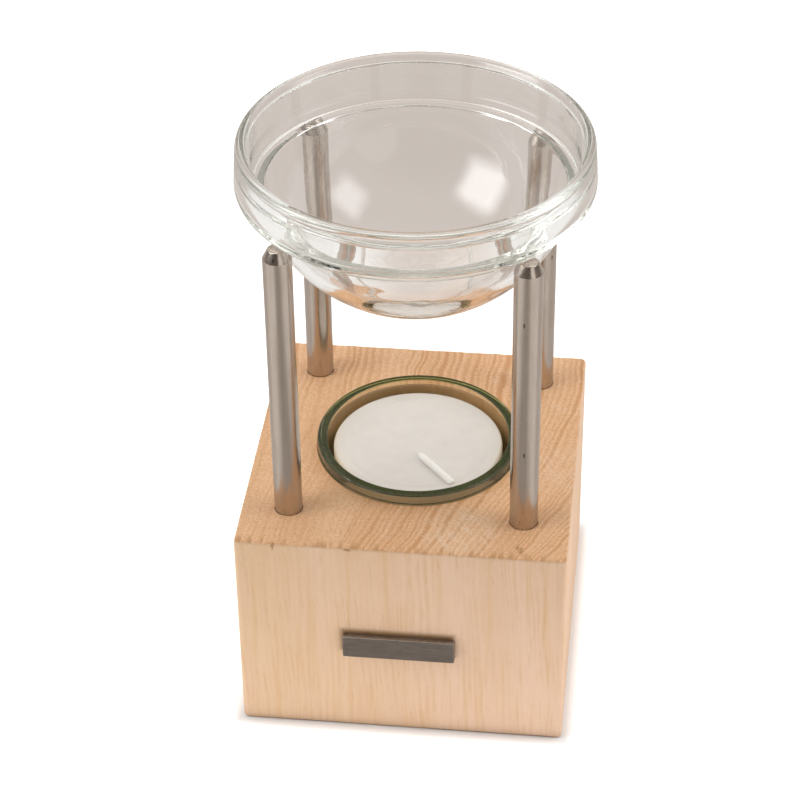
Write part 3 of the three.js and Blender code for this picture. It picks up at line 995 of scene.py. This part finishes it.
def add_plate(material):
    """Bare cast plate with a soft bevel in front and two pins behind."""
    work = bmesh.new()
    side, top = PLATE_WIDTH / 2 - PLATE_CORNER, PLATE_HEIGHT / 2 - PLATE_CORNER
    steps = 6
    outline = []
    for cx, cz, start in ((side, top, 0), (-side, top, 90), (-side, -top, 180), (side, -top, 270)):
        for step in range(steps + 1):
            angle = math.radians(start + 90 * step / steps)
            outline.append((cx, cz, math.cos(angle), math.sin(angle)))

    def ring(inset, y):
        reach = PLATE_CORNER - inset
        points = [(PLATE_X + cx + nx * reach, y, PLATE_Z + cz + nz * reach) for cx, cz, nx, nz in outline]
        return [work.verts.new(point) for point in points]

    face_y = BLOCK_FRONT - PLATE_THICKNESS
    rings = [ring(PLATE_BACK_EDGE, BLOCK_FRONT), ring(0.0, BLOCK_FRONT - PLATE_BACK_EDGE)]
    steps = 5
    for step in range(steps + 1):
        angle = math.pi / 2 * step / steps
        rings.append(ring(PLATE_BEVEL * (1 - math.cos(angle)), face_y + PLATE_BEVEL * (1 - math.sin(angle))))
    for lower, upper in zip(rings, rings[1:]):
        for k in range(len(lower)):
            after = (k + 1) % len(lower)
            work.faces.new((lower[k], lower[after], upper[after], upper[k]))
    work.faces.new(rings[0])
    work.faces.new(rings[-1])
    pin_y = BLOCK_FRONT + (PIN_LENGTH - PIN_ROOT) / 2
    lying = Matrix.Rotation(math.pi / 2, 4, "X")
    for offset in (-PIN_SPACING / 2, PIN_SPACING / 2):
        bmesh.ops.create_cone(
            work,
            cap_ends=True,
            segments=PIN_SEGMENTS,
            radius1=PIN_RADIUS,
            radius2=PIN_RADIUS,
            depth=PIN_LENGTH + PIN_ROOT,
            matrix=Matrix.Translation((PLATE_X + offset, pin_y, PLATE_Z)) @ lying,
        )
    verts, faces = taken_apart(work)
    add_piece("cast_plate", verts, faces, material, "base", "front_plate", sharp=40.0)


# Studio


def add_floor():
    """Pale floor that the camera, metal and glass see as a light background with the burner's shadow on it."""
    mesh = bpy.data.meshes.new("floor")
    far = FLOOR_REACH
    mesh.from_pydata([(-far, -far, 0), (far, -far, 0), (far, far, 0), (-far, far, 0)], [], [(0, 1, 2, 3)])
    floor = bpy.data.objects.new("floor", mesh)
    floor.location.z = -FLOOR_DROP
    bpy.context.scene.collection.objects.link(floor)

    material, g = new_material("floor")
    path = g.node("LightPath").outputs
    lit = g.node("BsdfDiffuse", {"Color": colour(0.86, 0.85, 0.84)}).outputs[0]
    at = g.node("SeparateXYZ", {0: g.place()}).outputs
    sideways = g.math("ABSOLUTE", at["X"])

    # Tones that metal and glass see: dim in front with painted lamp sheen on the floor to either side, warm
    # under the bowl and greyer far behind
    through = g.mix(g.spread(sideways, 10.0, 45.0), colour(0.74, 0.64, 0.57), colour(0.93, 0.91, 0.88))
    through = g.mix(g.spread(at["Y"], 95.0, 165.0), through, colour(0.575, 0.505, 0.455))
    in_front = g.mix(g.spread(sideways, 35.0, 110.0), colour(0.42, 0.372, 0.332), colour(0.92, 0.87, 0.81))
    backward = g.mix(path["Is Transmission Ray"], colour(0.66, 0.60, 0.55), through)
    tone = g.mix(g.spread(at["Y"], -60.0, 0.0), in_front, backward)

    # Glow that lifts the floor to white for the camera, away from the block. Close to the block it fades out, so
    # the floor there shows its real shadow and is also painted darker than the white beyond
    side = g.math("SUBTRACT", sideways, BLOCK_HALF_WIDTH)
    middle = g.math("SUBTRACT", at["Y"], (BLOCK_FRONT + BLOCK_BACK) / 2)
    end = g.math("SUBTRACT", g.math("ABSOLUTE", middle), (BLOCK_BACK - BLOCK_FRONT) / 2)
    open_floor = g.spread(g.math("MAXIMUM", side, end), 0.0, 3.8, 0.04, 0.6)
    glow = g.node("Emission", {"Color": colour(1.0, 1.0, 1.0), "Strength": open_floor}).outputs[0]
    for_camera = g.node("AddShader", {0: lit, 1: glow}).outputs[0]
    tinted = g.node("Emission", {"Color": tone, "Strength": 1.0}).outputs[0]
    for_glass = g.node("MixShader", {0: 0.9, 1: lit, 2: tinted}).outputs[0]
    looking = g.math("ADD", path["Is Glossy Ray"], path["Is Transmission Ray"], clamp=True)
    shader = g.node("MixShader", {0: looking, 1: lit, 2: for_glass}).outputs[0]
    shader = g.node("MixShader", {0: path["Is Camera Ray"], 1: shader, 2: for_camera}).outputs[0]
    finish_material(g, shader)
    mesh.materials.append(material)


def add_world():
    """White to the camera, a room with a dim front to mirrors and glass, and a soft fill for everything else."""
    world = bpy.data.worlds.new("studio")
    bpy.context.scene.world = world
    world.use_nodes = True
    g = Graph(world.node_tree)
    path = g.node("LightPath").outputs
    direction = g.node("TexCoord").outputs["Generated"]
    parts = g.node("SeparateXYZ", {0: direction}).outputs
    front = g.spread(parts["Y"], -0.35, -0.8)
    high = g.spread(parts["Z"], 0.25, 0.6)
    window = g.spread(g.distance(direction, WINDOW_WAY), 0.34, 0.24)
    overhead = g.spread(g.distance(direction, OVERHEAD_WAY), 0.22, 0.14)

    # Room in mirrors: dark low down and overhead, with a window at the front right
    upper = g.mix(front, colour(0.74, 0.71, 0.68), colour(0.12, 0.105, 0.095))
    mirrored = g.mix(high, colour(0.15, 0.13, 0.115), upper)
    mirrored = g.mix(window, mirrored, colour(1.1, 1.04, 0.98))
    mirrored = g.mix(overhead, mirrored, colour(0.16, 0.14, 0.12))

    # Room through glass: pale low down, bright overhead
    through = g.mix(high, colour(0.92, 0.90, 0.87), colour(0.58, 0.52, 0.47))
    through = g.mix(front, through, colour(0.42, 0.39, 0.36))
    through = g.mix(overhead, through, colour(1.5, 1.42, 1.32))

    # Fill: weak from the front, stronger from behind and strongest from the right
    fill = g.mix(g.spread(parts["Y"], 0.0, -0.5), colour(0.86, 0.86, 0.86), colour(0.05, 0.05, 0.05))
    fill = g.mix(g.spread(parts["Y"], 0.15, 0.8), fill, colour(1.3, 1.3, 1.3))
    beside = g.math("MULTIPLY", g.spread(parts["X"], 0.5, 1.0), g.spread(parts["Y"], -0.45, 0.0))
    fill = g.mix(beside, fill, colour(2.5, 2.5, 2.5))
    room = g.mix(path["Is Glossy Ray"], fill, mirrored)
    room = g.mix(path["Is Transmission Ray"], room, through)
    room = g.mix(path["Is Camera Ray"], room, colour(1.0, 1.0, 1.0))
    background = g.node("Background", {"Color": room, "Strength": 1.0}).outputs[0]
    g.node("OutputWorld", {"Surface": background})


def add_softbox(name, azimuth, elevation, distance, width, height, radiance, turn, feather):
    """Soft area lamp that faces the burner. Azimuth 0 is the front, positive to the right."""
    a, e = math.radians(azimuth), math.radians(elevation)
    towards = Vector((math.sin(a) * math.cos(e), -math.cos(a) * math.cos(e), math.sin(e)))
    data = bpy.data.lights.new(name, "AREA")
    data.shape = "RECTANGLE"
    data.size = width
    data.size_y = height
    data.energy = radiance * math.pi * width * height
    data.use_nodes = True
    g = Graph(data.node_tree)
    spot = g.node("SeparateXYZ", {0: g.node("NewGeometry").outputs["Parametric"]}).outputs
    edges = []
    for axis in ("X", "Y"):
        from_middle = g.math("ABSOLUTE", g.math("SUBTRACT", spot[axis], 0.5))
        edges.append(g.spread(from_middle, 0.5, 0.5 - feather))
    strength = g.math("MULTIPLY", edges[0], edges[1])
    g.node("OutputLight", {0: g.node("Emission", {"Strength": strength}).outputs[0]})
    lamp = bpy.data.objects.new(name, data)
    facing = towards.to_track_quat("Z", "Y").to_matrix().to_4x4()
    turned = facing @ Matrix.Rotation(math.radians(turn), 4, "Z")
    lamp.matrix_world = Matrix.Translation(LAMP_AIM + towards * distance) @ turned
    lamp.visible_camera = False
    bpy.context.scene.collection.objects.link(lamp)


def add_low_lamp():
    """Flat lamp on the floor in front, which lights the block's front from below."""
    data = bpy.data.lights.new("lamp_low", "AREA")
    data.shape = "RECTANGLE"
    data.size = LOW_LAMP_WIDTH
    data.size_y = LOW_LAMP_DEPTH
    data.energy = LOW_LAMP_RADIANCE * math.pi * LOW_LAMP_WIDTH * LOW_LAMP_DEPTH
    lamp = bpy.data.objects.new("lamp_low", data)
    lamp.location = (LOW_LAMP_X, BLOCK_FRONT * MM - LOW_LAMP_GAP - LOW_LAMP_DEPTH / 2, LOW_LAMP_HEIGHT)
    lamp.rotation_euler = (math.pi, 0.0, 0.0)
    lamp.visible_camera = False
    lamp.visible_glossy = False
    lamp.visible_transmission = False
    bpy.context.scene.collection.objects.link(lamp)


def add_camera():
    a, e = CAMERA_AZIMUTH, CAMERA_ELEVATION
    back = Vector((math.sin(a) * math.cos(e), -math.cos(a) * math.cos(e), math.sin(e)))
    right = (-back).cross(Vector((0, 0, 1))).normalized()
    up = right.cross(-back)
    across = right * math.cos(CAMERA_ROLL) + up * math.sin(CAMERA_ROLL)
    above = up * math.cos(CAMERA_ROLL) - right * math.sin(CAMERA_ROLL)
    turn = Matrix((across, above, back)).transposed().to_4x4()
    data = bpy.data.cameras.new("camera")
    data.sensor_width = CAMERA_SENSOR
    data.lens = CAMERA_LENS
    data.clip_start = 0.01
    data.clip_end = 50.0
    camera = bpy.data.objects.new("camera", data)
    camera.matrix_world = Matrix.Translation((CAMERA_TARGET + back * CAMERA_DISTANCE) * MM) @ turn
    bpy.context.scene.collection.objects.link(camera)
    bpy.context.scene.camera = camera


add_camera()
add_floor()
add_world()
for lamp_name, settings in SOFTBOXES.items():
    add_softbox(lamp_name, **settings)
add_low_lamp()

add_block(make_wood())
add_rods(make_steel())
add_bowl(make_clear_glass())
add_tealight_glass(make_green_glass())
add_wax(make_wax())
add_wick(make_wick())
add_plate(make_pewter())

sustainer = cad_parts["wick_sustainer"]
sustainer.data.materials.clear()
sustainer.data.materials.append(make_tin())

bpy.context.scene.view_settings.view_transform = "Standard"

# Enough bounces for the rays that run along the glass walls
bpy.context.scene.cycles.max_bounces = 48
bpy.context.scene.cycles.glossy_bounces = 40
bpy.context.scene.cycles.transmission_bounces = 40
